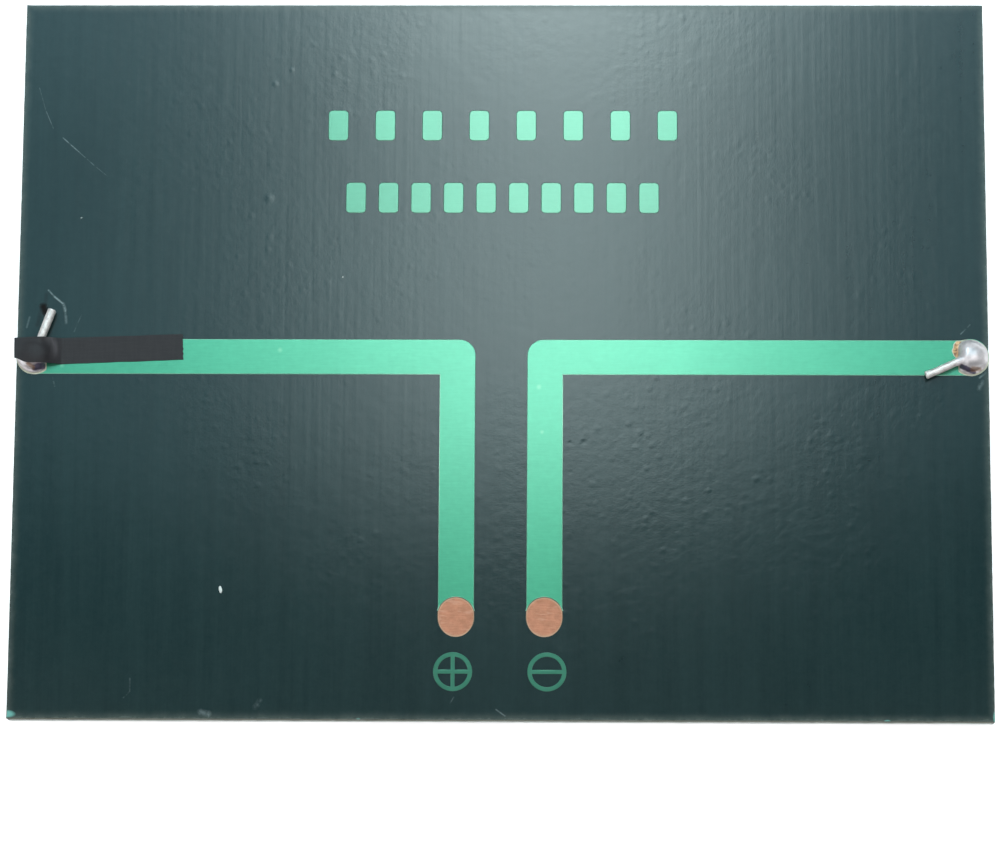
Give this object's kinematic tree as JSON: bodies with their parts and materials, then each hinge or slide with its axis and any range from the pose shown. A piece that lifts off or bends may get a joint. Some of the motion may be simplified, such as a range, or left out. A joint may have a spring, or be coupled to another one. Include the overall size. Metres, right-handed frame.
{
  "type": "solar panel",
  "caption": "Small flat potted solar panel on a circuit board, lying cells down, with soldered end wires, copper traces, bare solder pads and a strip of tape.",
  "frame": {"origin": "centre of the clear light-facing side, which is the side the panel lies on", "axes": "+X along the long side, towards the negative terminal; +Y along the short side, away from the solder pads; +Z out of the soldered side of the circuit board"},
  "size_m": [0.1122, 0.084, 0.0049],
  "materials": {
    "clear_epoxy": "clear cast epoxy with a glossy face and sawn edges",
    "silicon_cell": "dark blue crystalline silicon with an anti-reflection coat",
    "tinned_ribbon": "dull tinned copper ribbon",
    "white_adhesive": "matt white bonding sheet",
    "glass_fibre_board": "sawn glass-fibre laminate",
    "bare_copper": "brushed bare copper, slightly dulled",
    "green_solder_mask": "dark green satin lacquer that turns mint green over copper",
    "tinned_wire": "wire end dipped in solder",
    "bright_solder": "bright solder with brown flux at its rim",
    "black_tape": "matt black vinyl tape"
  },
  "bodies": {
    "root": {"clear_encapsulant": "clear_epoxy", "cell_01": "silicon_cell", "cell_02": "silicon_cell", "cell_03": "silicon_cell", "cell_04": "silicon_cell", "cell_05": "silicon_cell", "cell_06": "silicon_cell", "cell_07": "silicon_cell", "cell_08": "silicon_cell", "cell_09": "silicon_cell", "cell_10": "silicon_cell", "cell_11": "silicon_cell", "cell_12": "silicon_cell", "cell_ribbon_01": "tinned_ribbon", "cell_ribbon_02": "tinned_ribbon", "cell_ribbon_03": "tinned_ribbon", "cell_ribbon_04": "tinned_ribbon", "cell_ribbon_05": "tinned_ribbon", "cell_ribbon_06": "tinned_ribbon", "cell_ribbon_07": "tinned_ribbon", "cell_ribbon_08": "tinned_ribbon", "cell_ribbon_09": "tinned_ribbon", "cell_ribbon_10": "tinned_ribbon", "cell_ribbon_11": "tinned_ribbon", "string_lead_positive": "tinned_ribbon", "string_lead_negative": "tinned_ribbon", "cell_adhesive": "white_adhesive", "circuit_board": "glass_fibre_board", "copper_trace_positive": "bare_copper", "copper_trace_negative": "bare_copper", "polarity_mark_plus": "bare_copper", "polarity_mark_minus": "bare_copper", "marking_bar_1_01": "bare_copper", "marking_bar_1_02": "bare_copper", "marking_bar_1_03": "bare_copper", "marking_bar_1_04": "bare_copper", "marking_bar_1_05": "bare_copper", "marking_bar_1_06": "bare_copper", "marking_bar_1_07": "bare_copper", "marking_bar_1_08": "bare_copper", "marking_bar_2_01": "bare_copper", "marking_bar_2_02": "bare_copper", "marking_bar_2_03": "bare_copper", "marking_bar_2_04": "bare_copper", "marking_bar_2_05": "bare_copper", "marking_bar_2_06": "bare_copper", "marking_bar_2_07": "bare_copper", "marking_bar_2_08": "bare_copper", "marking_bar_2_09": "bare_copper", "marking_bar_2_10": "bare_copper", "solder_mask": "green_solder_mask", "terminal_wire_positive": "tinned_wire", "terminal_wire_negative": "tinned_wire", "solder_joint_positive": "bright_solder", "solder_joint_negative": "bright_solder", "insulating_tape": "black_tape"}
  },
  "joints": []
}
